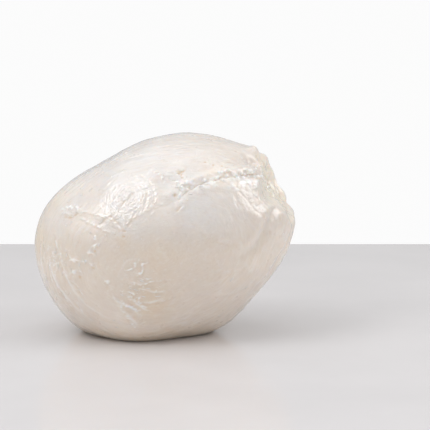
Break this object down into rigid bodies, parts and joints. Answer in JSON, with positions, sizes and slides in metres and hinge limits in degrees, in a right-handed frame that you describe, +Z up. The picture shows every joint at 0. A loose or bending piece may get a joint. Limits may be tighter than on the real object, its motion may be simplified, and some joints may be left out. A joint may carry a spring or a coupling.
{
  "type": "mozzarella ball",
  "caption": "Whole ball of fresh white cheese, egg-shaped and tilted, with a torn, pleated neck at one end and a slumped flat underside.",
  "frame": {"origin": "middle of the ball's box, at the level of the flat underside it rests on", "axes": "+Z up, +X along the ball's length toward the torn neck, -Y the front, which shows the pleat running from the neck"},
  "size_m": [0.0936, 0.07, 0.0717],
  "materials": {
    "cheese": "wet, milky-white skin of fresh curd: soft, slightly translucent, with a broad gloss"
  },
  "bodies": {
    "root": {"mozzarella_ball": "cheese"}
  },
  "joints": []
}
